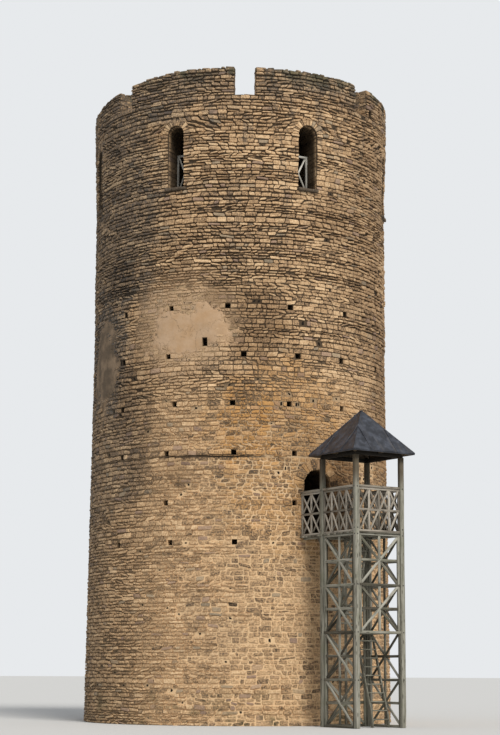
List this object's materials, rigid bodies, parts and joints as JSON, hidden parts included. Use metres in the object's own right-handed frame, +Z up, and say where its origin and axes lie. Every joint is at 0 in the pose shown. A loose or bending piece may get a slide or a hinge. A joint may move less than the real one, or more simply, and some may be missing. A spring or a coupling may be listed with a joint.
{
  "type": "castle keep",
  "caption": "Round stone keep with battlements, arched gallery doors, a raised round-headed doorway and a roofed timber stair tower with lattice railings",
  "frame": {"origin": "axis of the keep at ground level, on the underside of the ground floor", "axes": "+Z up, -Y towards the timber stair tower and the doorway, +X to the right of a person who faces the doorway"},
  "size_m": [8.9859, 11.668, 18.6],
  "materials": {
    "masonry": "coursed sandstone rubble in pale lime mortar",
    "paving": "worn lime paving",
    "old_timber": "old dark timber",
    "grey_timber": "weathered silver-grey timber",
    "roof_metal": "dark blue-black standing-seam sheet"
  },
  "bodies": {
    "root": {"ground_floor": "paving", "base_wall_cardinal": "masonry", "base_wall_diagonal": "masonry", "entrance_wall_cardinal": "masonry", "entrance_wall_diagonal": "masonry", "door_head": "masonry", "upper_wall_cardinal": "masonry", "upper_wall_diagonal": "masonry", "middle_wall_cardinal": "masonry", "middle_wall_diagonal": "masonry", "gallery_piers": "masonry", "gallery_arches": "masonry", "parapet": "masonry", "merlons": "masonry", "floor_joists": "old_timber", "entrance_floor": "old_timber", "middle_floor": "old_timber", "gallery_floor": "old_timber", "terrace_floor": "paving", "gallery_thresholds": "old_timber", "gallery_barriers": "grey_timber", "corner_posts": "grey_timber", "left_bracing": "grey_timber", "right_bracing": "grey_timber", "front_bracing": "grey_timber", "back_bracing": "grey_timber", "bridge_beams": "grey_timber", "deck_beams": "grey_timber", "knee_braces": "grey_timber", "deck_boards": "grey_timber", "front_railing": "grey_timber", "left_railing": "grey_timber", "right_railing": "grey_timber", "left_bridge_railing": "grey_timber", "right_bridge_railing": "grey_timber", "head_plates": "grey_timber", "rafters": "old_timber", "roof_boarding": "old_timber", "roof_sheets": "roof_metal", "stair_stringers": "grey_timber", "stair_treads": "grey_timber", "stair_landing": "grey_timber"}
  },
  "joints": []
}
